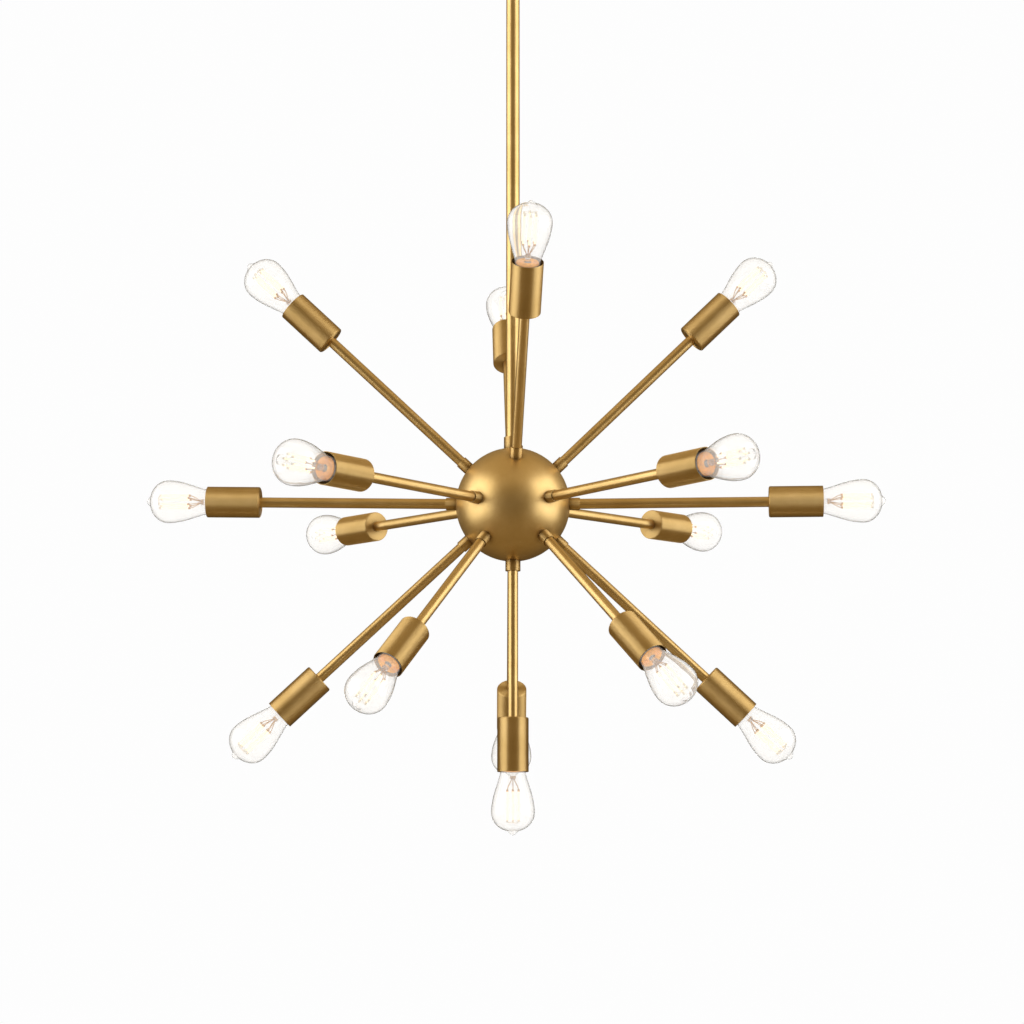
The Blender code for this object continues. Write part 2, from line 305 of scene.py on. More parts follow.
@dataclass(frozen=True)
class PlatedSteel:
    """Dull zinc-plated steel, for what the canopy hides and the swivel ball.

    Attributes:
        bright: Colour of the clean plating.
        dull: Colour of its cloudy patches.
    """

    bright: tuple[float, float, float] = (0.66, 0.66, 0.64)
    dull: tuple[float, float, float] = (0.44, 0.45, 0.46)

    def material(self) -> bpy.types.Material:
        """Build the finish."""
        recipe = Recipe("plated_steel")
        recipe.fix(Metallic=1.0)
        spangle = recipe.noise(scale=160.0, detail=3.0)
        recipe.link(recipe.blended(recipe.ranged(spangle, 0.0, 1.0), self.bright, self.dull),
                    recipe.shader.inputs["Base Color"])
        recipe.link(recipe.ranged(spangle, 0.28, 0.46), recipe.shader.inputs["Roughness"])
        return recipe.material


@dataclass(frozen=True)
class LampGlass:
    """Clear blown glass of a lit lamp, faintly veiled by its own light.

    Attributes:
        tint: Colour of the glass.
        edge: Colour of the glass seen along its wall.
        clarity: Share of the light that goes straight through.
        veil: Colour of the light that the glass scatters.
        veil_strength: How bright that light is.
    """

    tint: tuple[float, float, float] = (0.99, 0.99, 0.985)
    edge: tuple[float, float, float] = (0.36, 0.35, 0.33)
    clarity: float = 0.90
    veil: tuple[float, float, float] = (1.0, 0.95, 0.88)
    veil_strength: float = 0.036

    def material(self) -> bpy.types.Material:
        """Build the finish."""
        recipe = Recipe("lamp_glass")
        recipe.fix(Transmission_Weight=self.clarity, IOR=1.45,
                   Emission_Color=(*self.veil, 1.0))
        slant = recipe.node("ShaderNodeLayerWeight")
        recipe.link(recipe.ranged(slant.outputs["Facing"], self.veil_strength, 0.0, 0.35, 0.90),
                    recipe.shader.inputs["Emission Strength"])
        along = recipe.ranged(slant.outputs["Facing"], 0.0, 1.0, 0.62, 0.97)
        recipe.link(recipe.blended(along, self.tint, self.edge), recipe.shader.inputs["Base Color"])
        ripple = recipe.noise(scale=38.0, detail=1.5)
        recipe.link(recipe.ranged(ripple, 0.0, 0.03), recipe.shader.inputs["Roughness"])
        recipe.link(recipe.bump(ripple, 0.0004, 0.10), recipe.shader.inputs["Normal"])
        return recipe.material


@dataclass(frozen=True)
class Glow:
    """The lit filament strips, hotter in their middle.

    Attributes:
        hot: Colour at the brightest places.
        warm: Colour at the dimmer places.
        strength: Light given off.
    """

    hot: tuple[float, float, float] = (1.0, 0.84, 0.60)
    warm: tuple[float, float, float] = (1.0, 0.72, 0.42)
    strength: float = 0.85

    def material(self) -> bpy.types.Material:
        """Build the finish."""
        recipe = Recipe("filament_glow")
        beads = recipe.noise(scale=700.0, detail=1.0)
        colour = recipe.blended(recipe.ranged(beads, 0.0, 1.0), self.hot, self.warm)
        recipe.link(colour, recipe.shader.inputs["Emission Color"])
        recipe.link(colour, recipe.shader.inputs["Base Color"])
        recipe.fix(Emission_Strength=self.strength, Roughness=0.5)
        return recipe.material


@dataclass(frozen=True)
class Moulding:
    """A moulded insulator, slightly mottled.

    Attributes:
        name: The material's name.
        main: Its colour.
        second: The colour of its mottling.
        roughness: Mean roughness.
    """

    name: str
    main: tuple[float, float, float]
    second: tuple[float, float, float]
    roughness: float = 0.45

    def material(self) -> bpy.types.Material:
        """Build the finish."""
        recipe = Recipe(self.name)
        mottle = recipe.noise(scale=220.0, detail=3.0)
        recipe.link(recipe.blended(recipe.ranged(mottle, 0.0, 1.0), self.main, self.second),
                    recipe.shader.inputs["Base Color"])
        recipe.link(recipe.ranged(mottle, self.roughness - 0.08, self.roughness + 0.08),
                    recipe.shader.inputs["Roughness"])
        recipe.link(recipe.bump(mottle, 0.00005, 0.2), recipe.shader.inputs["Normal"])
        return recipe.material


class Palette:
    """Every finish of the object, each made once."""

    def __init__(self) -> None:
        """Make the materials."""
        self.turned = SatinBrass(Grain.TURNED).material()
        self.drawn = SatinBrass(Grain.DRAWN, roughness=0.33).material()
        self.plain = SatinBrass(Grain.PLAIN, roughness=0.37).material()
        self.steel = PlatedSteel().material()
        self.glass = LampGlass().material()
        self.glow = Glow().material()
        self.black = Moulding("black_moulding", (0.025, 0.022, 0.020), (0.05, 0.045, 0.04)).material()
        self.beige = Moulding("strip_joint", (0.93, 0.86, 0.70), (0.86, 0.76, 0.58)).material()
        self.wire = LitMetal("lead_wire", (0.62, 0.37, 0.15), (0.42, 0.23, 0.09), 0.06).material()
        self.gilt = LitMetal("gilt", (1.0, 0.47, 0.06), (0.62, 0.23, 0.02), 0.17).material()


# ---------------------------------------------------------------- modelling tools


def deselect_all() -> None:
    """Leave edit mode and select nothing."""
    if bpy.context.object is not None and bpy.context.object.mode != "OBJECT":
        bpy.ops.object.mode_set(mode="OBJECT")
    bpy.ops.object.select_all(action="DESELECT")


def make_active(piece: bpy.types.Object) -> None:
    """Select one object and make it the active one."""
    deselect_all()
    piece.select_set(True)
    bpy.context.view_layer.objects.active = piece


def dress(piece: bpy.types.Object, material: bpy.types.Material) -> bpy.types.Object:
    """Give a piece one material."""
    piece.data.materials.clear()
    piece.data.materials.append(material)
    return piece


def rounded(corners: Outline, radius: float, steps: int = 4, closed: bool = False) -> Outline:
    """Round the corners of an outline.

    Args:
        corners: The outline's corners, each (radius, height).
        radius: The fillet's radius, limited by the sides it joins.
        steps: Straight pieces in each fillet.
        closed: True where the last corner joins the first.

    Returns:
        The rounded outline.
    """
    points = [Vector(corner) for corner in corners]
    count = len(points)
    result: Outline = []
    for index, point in enumerate(points):
        if not closed and index in (0, count - 1):
            result.append(tuple(point))
            continue
        before = points[index - 1] - point
        after = points[(index + 1) % count] - point
        turn = before.angle(after)
        if turn > math.radians(172):
            result.append(tuple(point))
            continue
        reach = min(radius / math.tan(turn / 2), before.length * 0.45, after.length * 0.45)
        start = point + before.normalized() * reach
        end = point + after.normalized() * reach
        for step in range(steps + 1):
            share = step / steps
            near = start.lerp(point, share)
            result.append(tuple(near.lerp(point.lerp(end, share), share)))
    return result


def stepped(outline: Outline, longest: float = 0.010) -> Outline:
    """Divide an outline's long sides, so that the turned piece has short faces.

    Args:
        outline: The outline, taken as closed.
        longest: The longest side that is left whole.

    Returns:
        The outline with the new points.
    """
    result: Outline = []
    for here, there in zip(outline, outline[1:] + outline[:1]):
        parts = max(1, math.ceil(math.dist(here, there) / longest))
        for part in range(parts):
            share = part / parts
            result.append((here[0] + (there[0] - here[0]) * share, here[1] + (there[1] - here[1]) * share))
    return result


def turn(name: str, outline: Outline, segments: int = 48, closed: bool = False) -> bpy.types.Object:
    """Turn an outline about Z: a vertex is extruded along it, then spun.

    Args:
        name: The piece's name.
        outline: Points of (radius, height).
        segments: Sides of the round.
        closed: True for a ring, whose last point joins its first.

    Returns:
        The turned object, with its turned map.
    """
    deselect_all()
    first = outline[0]
    bpy.ops.mesh.primitive_plane_add(size=0.001, location=(first[0], 0.0, first[1]))
    piece = bpy.context.object
    piece.name = name
    bpy.ops.object.transform_apply(location=True, rotation=True, scale=True)
    bpy.ops.object.mode_set(mode="EDIT")
    bpy.ops.mesh.select_all(action="SELECT")
    bpy.ops.mesh.merge(type="CENTER")
    path = outline + [first] if closed else outline
    for here, there in zip(path, path[1:]):
        step = (there[0] - here[0], 0.0, there[1] - here[1])
        bpy.ops.mesh.extrude_region_move(TRANSFORM_OT_translate={"value": step})
    bpy.ops.mesh.select_all(action="SELECT")
    bpy.ops.mesh.spin(steps=segments, angle=math.tau, center=(0, 0, 0), axis=(0, 0, 1))
    bpy.ops.mesh.select_all(action="SELECT")
    bpy.ops.mesh.remove_doubles(threshold=MERGE)
    bpy.ops.mesh.normals_make_consistent(inside=False)
    bpy.ops.object.mode_set(mode="OBJECT")
    map_turned(piece, path)
    bpy.ops.object.shade_smooth_by_angle(angle=math.radians(38))
    return piece


def map_turned(piece: bpy.types.Object, path: Outline) -> None:
    """Lay a map over a turned piece: U along its outline, V around it.

    Args:
        piece: The piece, turned about Z.
        path: The outline it was turned from.
    """
    mesh = piece.data
    points = np.array(path)
    steps = np.hypot(*np.diff(points, axis=0).T)
    along = np.concatenate([[0.0], np.cumsum(steps)]) * METRES_TO_MAP
    co = np.empty(len(mesh.vertices) * 3)
    mesh.vertices.foreach_get("co", co)
    co = co.reshape(-1, 3)
    radii = np.hypot(co[:, 0], co[:, 1])
    gaps = np.hypot(radii[:, None] - points[None, :, 0], co[:, 2][:, None] - points[None, :, 1])
    distance = along[gaps.argmin(axis=1)]
    angle = np.arctan2(co[:, 1], co[:, 0]) / math.tau
    layer = mesh.uv_layers.new(name=TURNED_MAP)
    for polygon in mesh.polygons:
        turns = [angle[mesh.loops[index].vertex_index] for index in polygon.loop_indices]
        wraps = max(turns) - min(turns) > 0.5
        for index, share in zip(polygon.loop_indices, turns):
            around = share + 1.0 if wraps and share < 0.0 else share
            layer.data[index].uv = (distance[mesh.loops[index].vertex_index], around)


def smooth_wire(name: str, points: Sequence[Sequence[float]], radius: float) -> bpy.types.Object:
    """Bend a round wire through points.

    Args:
        name: The piece's name.
        points: The places it passes through.
        radius: The wire's radius.

    Returns:
        The wire as a mesh with closed ends.
    """
    deselect_all()
    bpy.ops.curve.primitive_bezier_curve_add(location=(0, 0, 0))
    wire = bpy.context.object
    wire.name = name
    spline = wire.data.splines[0]
    spline.bezier_points.add(len(points) - 2)
    for knot, place in zip(spline.bezier_points, points):
        knot.co = place
        knot.handle_left_type = knot.handle_right_type = "AUTO"
    wire.data.dimensions = "3D"
    wire.data.resolution_u = 5
    wire.data.bevel_depth = radius
    wire.data.bevel_resolution = 2
    wire.data.use_fill_caps = True
    bpy.ops.object.convert(target="MESH")
    bpy.ops.object.transform_apply(location=True, rotation=True, scale=True)
    return bpy.context.object


def joined(name: str, pieces: Sequence[bpy.types.Object]) -> bpy.types.Object:
    """Join pieces into one object."""
    make_active(pieces[0])
    for piece in pieces:
        piece.select_set(True)
    bpy.ops.object.join()
    bpy.context.object.name = name
    return bpy.context.object


def copied(pattern: bpy.types.Object, name: str, place: Matrix) -> bpy.types.Object:
    """Copy a pattern with its own mesh, moved into place inside the mesh."""
    piece = bpy.data.objects.new(name, pattern.data.copy())
    piece.data.name = name
    piece.data.transform(place)
    bpy.context.scene.collection.objects.link(piece)
    return piece


def settle(piece: bpy.types.Object, body: str, slot: str, *nodes: str) -> None:
    """Put a finished piece on its body.

    Args:
        piece: The piece.
        body: The body it rides on.
        slot: The record's material slot; not used.
        nodes: The CAD nodes that it stands for.
    """
    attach(piece, body)
    if nodes:
        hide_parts(*nodes)
    LOG.info("%s rides on %s", piece.name, body)


# ---------------------------------------------------------------- places in the frame


@dataclass(frozen=True)
class Axis:
    """A straight axis in the frame, with heights measured along it.

    Attributes:
        origin: Where the height is zero.
        direction: Unit vector along it.
    """

    origin: Vector
    direction: Vector

    @property
    def place(self) -> Matrix:
        """The matrix that stands a piece turned about Z on this axis."""
        turned = self.direction.to_track_quat("Z", "Y").to_matrix().to_4x4()
        return Matrix.Translation(self.origin) @ turned

    def points(self, node: str) -> list[tuple[float, float]]:
        """The (radius, height) of every vertex of a CAD node."""
        result = []
        for vertex in frame["nodes"][node].data.vertices:
            offset = vertex.co - self.origin
            height = offset.dot(self.direction)
            result.append(((offset - self.direction * height).length, height))
        return result

    def span(self, node: str) -> tuple[float, float]:
        """The lowest and the highest height of a CAD node."""
        heights = [height for _, height in self.points(node)]
        return min(heights), max(heights)

    def radius(self, node: str, above: float = -math.inf, below: float = math.inf) -> float:
        """The widest radius of a CAD node between two heights."""
        return max(radius for radius, height in self.points(node) if above < height < below)


def upright_axis(height: float = 0.0) -> Axis:
    """The object's own vertical axis."""
    return Axis(Vector((0.0, 0.0, height)), Vector((0.0, 0.0, 1.0)))


def arm_axes() -> dict[str, Axis]:
    """The axis of each arm, from the joint that unscrews its lamp.

    Returns:
        Arm names and their axes, height zero at the closed end of the cup.
    """
    axes = {}
    for joint in frame["joints"]:
        if not joint["name"].startswith("unscrew_"):
            continue
        name = joint["name"].removeprefix("unscrew_")
        direction = Vector(joint["axis"]).normalized()
        lamp = [vertex.co for vertex in frame["nodes"]["lamp_" + name].data.vertices]
        tip = max(lamp, key=lambda co: co.dot(direction))
        cup_end = min(vertex.co.dot(direction) for vertex in frame["nodes"]["cup_" + name].data.vertices)
        axes[name] = Axis(tip - direction * (tip.dot(direction) - cup_end), direction)
    return axes


# ---------------------------------------------------------------- sub-assemblies


@dataclass
class Lamp:
    """A lit pear lamp: blown glass with its tip, screw base, glass stem, wires and strips.

    Heights are the cup's own, with its closed end at zero.

    Attributes:
        palette: The finishes.
        mouth: Height of the cup's mouth.
        base: Height of the lamp's contact.
        tip: Height of the lamp's tip.
        glass_radius: Widest radius of the glass.
        base_radius: Radius of the screw base.
        wall: Thickness of the glass.
        base_length: Length of the screw base.
        neck_radius: Radius of the glass at the cup's mouth.
        widest: Height above the mouth where the glass is widest.
        cap_height: Height of the rounded end above the widest place.
        tip_radius: Radius of the sealed tip where it leaves the rounded end.
        stem_reach: Height above the mouth of the glass stem's press.
        disc_radius: Radius of the gilt disc that shields the base from heat.
        strip_ring: Radius of the ring that the glowing strips stand on.
        strip_radius: Radius of a glowing strip.
        strip_start: Height above the mouth where the strips start.
        strip_end: Height above the mouth where they end.
        strips: How many strips there are.
    """

    palette: Palette
    mouth: float
    base: float
    tip: float
    glass_radius: float
    base_radius: float
    wall: float = 0.0008
    base_length: float = 0.0265
    neck_radius: float = 0.0165
    widest: float = 0.0530
    cap_height: float = 0.0246
    tip_radius: float = 0.0072
    stem_reach: float = 0.0100
    disc_radius: float = 0.0150
    strip_ring: float = 0.0085
    strip_radius: float = 0.0013
    strip_start: float = 0.0245
    strip_end: float = 0.0640
    strips: int = 6

    def pear(self, inset: float) -> Outline:
        """The glass outline from its neck to its sealed tip, set in by a wall."""
        shoulder = self.base + self.base_length
        points = [(self.base_radius - inset, shoulder)]
        points.append((self.base_radius - inset + 0.0006, shoulder + 0.004))
        flare = 16
        for step in range(flare):
            share = step / flare
            swell = math.sin(share * math.pi / 2)**1.3
            radius = self.neck_radius + (self.glass_radius - self.neck_radius) * swell
            points.append((radius - inset, self.mouth + self.widest * share))
        cap = 16
        top = math.acos(self.tip_radius / self.glass_radius)
        for step in range(cap + 1):
            angle = top * step / cap
            height = self.mouth + self.widest + self.cap_height * math.sin(angle)
            points.append(((self.glass_radius - inset) * math.cos(angle), height - inset * math.sin(angle)))
        rise = self.tip - inset - points[-1][1]
        start = points[-1]
        steps = 9
        for step in range(1, steps + 1):
            share = step / steps
            width = math.sqrt(1.0 - share) * (1.0 - 0.30 * share)
            points.append((start[0] * width, start[1] + rise * share))
        return points

    def glass(self) -> bpy.types.Object:
        """The blown glass as a thin shell, open at its neck."""
        outline = self.pear(self.wall)[::-1] + self.pear(0.0)
        return dress(turn("glass", outline, 56), self.palette.glass)

    def screw_base(self) -> bpy.types.Object:
        """The screw base, with rolled threads and a rim that grips the neck."""
        start = self.base + 0.0035
        threads = 6
        pitch = 0.0034
        radius = self.base_radius
        points = [(radius - 0.0030, start), (radius - 0.0012, start + 0.0008)]
        for step in range(threads * 6 + 1):
            swing = math.cos(math.tau * step / 6)
            points.append((radius - 0.00055 - 0.00045 * swing, start + 0.0014 + pitch * step / 6))
        top = self.base + self.base_length
        points += [(radius, top - 0.0006), (radius, top), (radius - 0.0005, top)]
        shell = turn("screw_shell", points, 40)
        return dress(shell, self.palette.turned)

    def contact(self) -> bpy.types.Object:
        """The black insulator and the solder contact at the foot of the base."""
        foot = self.base
        insulator = turn("insulator", [(0.0, foot + 0.0006), (0.0048, foot + 0.0008),
                                       (0.0102, foot + 0.0036), (0.0, foot + 0.0037)], 32)
        dress(insulator, self.palette.black)
        solder = turn("solder", [(0.0, foot), (0.0030, foot + 0.0002), (0.0042, foot + 0.0009),
                                 (0.0, foot + 0.0010)], 24)
        dress(solder, self.palette.steel)
        return joined("contact", [insulator, solder])

    def stem(self) -> bpy.types.Object:
        """The clear glass stem, flared at its foot and pressed flat at its top."""
        foot = self.base + self.base_length - 0.002
        top = self.mouth + self.stem_reach
        outline = rounded([(0.0, foot), (0.0105, foot), (0.0098, foot + 0.0020), (0.0040, foot + 0.0110),
                           (0.0034, top - 0.006), (0.0044, top - 0.002), (0.0030, top), (0.0, top)], 0.002)
        stem = turn("glass_stem", outline, 32)
        return dress(stem, self.palette.glass)

    def shield(self) -> bpy.types.Object:
        """The gilt heat shield in the neck: a ribbed disc with a hole for the stem."""
        height = self.mouth - 0.0012
        ribs = 5
        inner = 0.0048
        pitch = (self.disc_radius - inner) / ribs
        top = [(inner + pitch * step / 4, height + 0.0011 - 0.0011 * step / (4 * ribs)
                + 0.0004 * math.sin(math.tau * step / 4)) for step in range(4 * ribs + 1)]
        under = [(self.disc_radius, height - 0.0008), (inner, height - 0.0002)]
        return dress(turn("shield", top + under, 40, closed=True), self.palette.gilt)

    def strip_places(self) -> list[tuple[float, float]]:
        """Where the strips stand, as (x, y) around the lamp's axis."""
        places = []
        for index in range(self.strips):
            angle = math.tau * (index + 0.5) / self.strips
            places.append((self.strip_ring * math.cos(angle), self.strip_ring * math.sin(angle)))
        return places

    def wires(self) -> bpy.types.Object:
        """The lead wires, splayed from the press to the strips, and the ties at the strips' far ends."""
        low = self.mouth + self.stem_reach - 0.003
        foot = self.mouth + self.strip_start
        head = self.mouth + self.strip_end
        wires = []
        ties = []
        for x, y in self.strip_places():
            route = [(x * 0.12, y * 0.12, low), (x * 0.24, y * 0.24, low + 0.0030),
                     (x * 0.93, y * 0.93, foot - 0.0030), (x, y, foot + 0.0005)]
            wires.append(smooth_wire("lead", route, 0.00055))
            route = [(x, y, head - 0.0005), (x * 0.9, y * 0.9, head + 0.0012),
                     (x * 0.3, y * 0.3, head + 0.0022), (0.0, 0.0, head + 0.0016)]
            ties.append(smooth_wire("tie", route, 0.00032))
        clamp = turn("clamp", rounded([(0.0, low - 0.0012), (0.0026, low - 0.0012),
                                       (0.0026, low + 0.0012), (0.0, low + 0.0012)], 0.0005), 16)
        wires.append(clamp)
        leads = dress(joined("leads", wires), self.palette.wire)
        return joined("leads", [leads, dress(joined("ties", ties), self.palette.beige)])

    def glowing_strips(self) -> bpy.types.Object:
        """The straight glowing strips, each a slim rod with round ends."""
        strips = []
        low = self.mouth + self.strip_start
        high = self.mouth + self.strip_end
        radius = self.strip_radius
        for x, y in self.strip_places():
            strip = turn("strip", rounded([(0.0, low), (radius, low), (radius, high), (0.0, high)],
                                          radius * 0.9, 3), 10)
            strip.data.transform(Matrix.Translation((x, y, 0.0)))
            strips.append(strip)
        return dress(joined("strips", strips), self.palette.glow)

    def strip_joints(self) -> bpy.types.Object:
        """The sleeves that join each strip to its wires, tarnished at the foot and beige at the far end."""
        sleeves = []
        radius = self.strip_radius * 1.15
        length = 0.0030
        ends = ((self.mouth + self.strip_start, self.palette.wire),
                (self.mouth + self.strip_end, self.palette.beige))
        for middle, finish in ends:
            low, high = middle - length / 2, middle + length / 2
            for x, y in self.strip_places():
                outline = rounded([(0.0, low), (radius, low), (radius, high), (0.0, high)], 0.0004, 2)
                sleeve = dress(turn("sleeve", outline, 10), finish)
                sleeve.data.transform(Matrix.Translation((x, y, 0.0)))
                sleeves.append(sleeve)
        return joined("strip_joints", sleeves)

    def patterns(self) -> dict[str, bpy.types.Object]:
        """Model each piece of the lamp once.

        Returns:
            Piece names and their pattern objects.
        """
        return {
            "glass": self.glass(),
            "base": self.screw_base(),
            "contact": self.contact(),
            "stem": self.stem(),
            "shield": self.shield(),
            "leads": self.wires(),
            "strips": self.glowing_strips(),
            "strip_joints": self.strip_joints(),
        }


@dataclass
class Cup:
    """A lamp cup: a thin-walled brass can with a black lampholder inside.

    Attributes:
        palette: The finishes.
        length: From the closed end to the mouth.
        radius: Outer radius.
        hole_radius: Radius of the arm tube that enters the closed end.
        holder_radius: Inner radius of the lampholder.
        holder_top: Height of the lampholder's rim.
        wall: Thickness of the brass.
        edge: Fillet radius of the closed end.
    """

    palette: Palette
    length: float
    radius: float
    hole_radius: float
    holder_radius: float
    holder_top: float
    wall: float = 0.0011
    edge: float = 0.0021

    def can(self) -> bpy.types.Object:
        """The brass can, with a soft closed end and a fine rolled lip."""
        inner = self.radius - self.wall
        shoulder = self.radius - self.edge
        outer_arc = []
        inner_arc = []
        steps = 6
        for step in range(steps + 1):
            angle = math.pi / 2 * step / steps
            lean = (math.sin(angle), 1.0 - math.cos(angle))
            outer_arc.append((shoulder + self.edge * lean[0], self.edge * lean[1]))
            bend = self.edge - self.wall
            inner_arc.append((shoulder + bend * lean[0], self.wall + bend * lean[1]))
        lip = 0.0003
        outline = [(self.hole_radius, 0.0)] + outer_arc
        outline += [(self.radius, self.length * share) for share in (0.25, 0.5, 0.75)]
        outline += [(self.radius, self.length - lip), (self.radius - lip, self.length)]
        outline += [(inner + lip, self.length), (inner, self.length - lip)]
        outline += inner_arc[::-1] + [(self.hole_radius, self.wall)]
        return dress(turn("can", outline, 72, closed=True), self.palette.turned)

    def holder(self) -> bpy.types.Object:
        """The moulded lampholder: a sleeve with a thick floor and a flared rim."""
        bore = self.holder_radius
        outer = bore + 0.0020
        floor = 0.0185
        rim = self.holder_top
        foot = self.wall + 0.0008
        outline = [(0.0, floor), (bore, floor), (bore, rim - 0.0010), (bore + 0.0006, rim),
                   (outer + 0.0010, rim), (outer + 0.0010, rim - 0.0035),
                   (outer, rim - 0.0045), (outer, foot), (0.0, foot)]
        return dress(turn("holder", outline, 40), self.palette.black)

    def patterns(self) -> dict[str, bpy.types.Object]:
        """Model each piece of the cup once."""
        return {"can": self.can(), "holder": self.holder()}


@dataclass
class Arm:
    """An arm tube with its collar at the ball.

    Attributes:
        palette: The finishes.
        name: The arm's name.
        axis: The arm's axis, height zero at the cup.
    """

    palette: Palette
    name: str
    axis: Axis

    def build(self) -> None:
        """Model the tube and the collar from the arm's own node, and put them on the pendant."""
        node = "arm_" + self.name
        foot, top = self.axis.span(node)
        points = self.axis.points(node)
        tube = self.axis.radius(node, above=-0.01)
        collar = max(radius for radius, _ in points)
        heights = [height for radius, height in points if radius > (tube + collar) / 2]
        bore = tube - ARM_WALL
        outline = stepped([(bore, foot), (tube, foot), (tube, top), (bore, top)])
        rod = turn("arm_tube_" + self.name, outline, 40, closed=True)
        dress(rod, self.palette.drawn)
        rod.data.transform(self.axis.place)
        settle(rod, PENDANT, "satin_brass", node)
        outline = collar_outline(tube, collar, min(heights), max(heights))
        ring = turn("arm_collar_" + self.name, outline, 48, closed=True)
        dress(ring, self.palette.turned)
        ring.data.transform(self.axis.place)
        settle(ring, PENDANT, "satin_brass")


def collar_outline(tube: float, collar: float, low: float, high: float) -> Outline:
    """A collar's section: a straight band with a soft edge at each end.

    Args:
        tube: Radius of the tube inside it.
        collar: Outer radius.
        low: Height of its seat on the ball, which it reaches into a little.
        high: Height of its free end.

    Returns:
        The closed outline.
    """
    foot = low - COLLAR_SUNK
    corners = [(tube, foot), (collar, foot), (collar, high), (tube, high)]
    return rounded(corners, COLLAR_EDGE, 3, closed=True)


@dataclass
class Hub:
    """The ball that carries the arms, with the stem, its collar and its nut.

    Attributes:
        palette: The finishes.
        arms: The arms' axes; not used.
    """

    palette: Palette
    arms: dict[str, Axis]

    def ball(self) -> None:
        """The smooth ball: a fine sphere whose poles are hidden under the stem and bottom arm."""
        low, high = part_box("hub_shell")
        centre = (low + high) / 2
        radius = (high - low).y / 2
        steps = 96
        outline = [(0.0, -radius)]
        for step in range(1, steps):
            angle = math.pi * (step / steps - 0.5)
            outline.append((radius * math.cos(angle), radius * math.sin(angle)))
        outline.append((0.0, radius))
        ball = turn("ball", outline, 128)
        ball.data.transform(Matrix.Translation(centre))
        settle(dress(ball, self.palette.plain), PENDANT, "satin_brass", "hub_shell")

    def stem(self) -> None:
        """The stem tube and its collar on the ball."""
        axis = upright_axis()
        foot, top = axis.span("stem_tube")
        radius = axis.radius("stem_tube")
        bore = radius - STEM_WALL
        shoulder = max(height for reach, height in axis.points("stem_tube") if reach < bore)
        outline = stepped([(bore, foot), (radius, foot), (radius, top), (bore, shoulder)])
        tube = turn("stem", outline, 56, closed=True)
        settle(dress(tube, self.palette.drawn), PENDANT, "satin_brass", "stem_tube")
        low, high = axis.span("stem_collar")
        outline = collar_outline(radius, axis.radius("stem_collar"), low, high)
        settle(dress(turn("stem_ring", outline, 56, True), self.palette.turned), PENDANT,
               "satin_brass", "stem_collar")

    def build(self) -> None:
        """Build the ball and the stem; the nut inside keeps its CAD shape."""
        self.ball()
        self.stem()
        dress(frame["nodes"]["stem_nut"], self.palette.steel)


@dataclass
class Ceiling:
    """The canopy with its strap, studs and cap nuts, and the ball swivel.

    Attributes:
        palette: The finishes.
    """

    palette: Palette

    def canopy(self) -> None:
        """The canopy dish, spun from sheet, with a soft edge and a hole in its middle."""
        axis = upright_axis()
        low, high = axis.span("canopy")
        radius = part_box("canopy")[1].x / math.cos(math.pi / 24)
        hole = min(r for r, _ in axis.points("canopy") if r > 0.01)
        wall = 0.0014
        corners = [(hole, low), (radius - 0.004, low), (radius, low + 0.006), (radius, high)]
        inner = [(radius - wall, high), (radius - wall, low + 0.007),
                 (radius - 0.005, low + wall), (hole, low + wall)]
        outline = rounded(corners + inner, 0.0035, 5, closed=True)
        dish = turn("canopy_dish", outline, 96, closed=True)
        settle(dress(dish, self.palette.turned), "root", "satin_brass", "canopy")

    def seat(self) -> None:
        """The seat ring that the swivel ball hangs in, with a soft outer edge."""
        axis = upright_axis()
        low, high = axis.span("swivel_seat")
        radius = axis.radius("swivel_seat")
        points = sorted(axis.points("swivel_seat"))
        opening = points[0][0]
        bore = min(r for r, height in points if height > high - 0.0005)
        ball_height = high - (high - low) * 0.28
        corners = [(opening, low), (radius, low), (radius, high), (bore, high), (bore, ball_height),
                   (opening, low + 0.0045)]
        settle(dress(turn("seat_ring", rounded(corners, 0.0012, 4, True), 64, True), self.palette.turned),
               "root", "satin_brass", "swivel_seat")

    def cap_nuts(self) -> None:
        """The knurled cap nuts under the canopy, each turned with a domed end."""
        for side in ("left", "right"):
            low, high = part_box("canopy_nut_" + side)
            centre = (low + high) / 2
            radius = (high - low).x / 2
            outline = [(0.0, low.z), (radius * 0.55, low.z + 0.0002), (radius * 0.85, low.z + 0.0012),
                       (radius * 0.85, low.z + 0.0022), (radius, low.z + 0.0026), (radius, high.z - 0.0003),
                       (radius * 0.9, high.z), (0.0, high.z)]
            nut = turn("cap_nut_" + side, rounded(outline, 0.0004, 2), 32)
            nut.data.transform(Matrix.Translation((centre.x, centre.y, 0.0)))
            settle(dress(nut, self.palette.turned), "root", "satin_brass", "canopy_nut_" + side)

    def build(self) -> None:
        """Build the canopy, and dress the steel parts that keep their CAD shape."""
        self.canopy()
        self.seat()
        self.cap_nuts()
        for node in ("ceiling_strap", "canopy_stud_left", "canopy_stud_right", "swivel_ball"):
            dress(frame["nodes"][node], self.palette.steel)


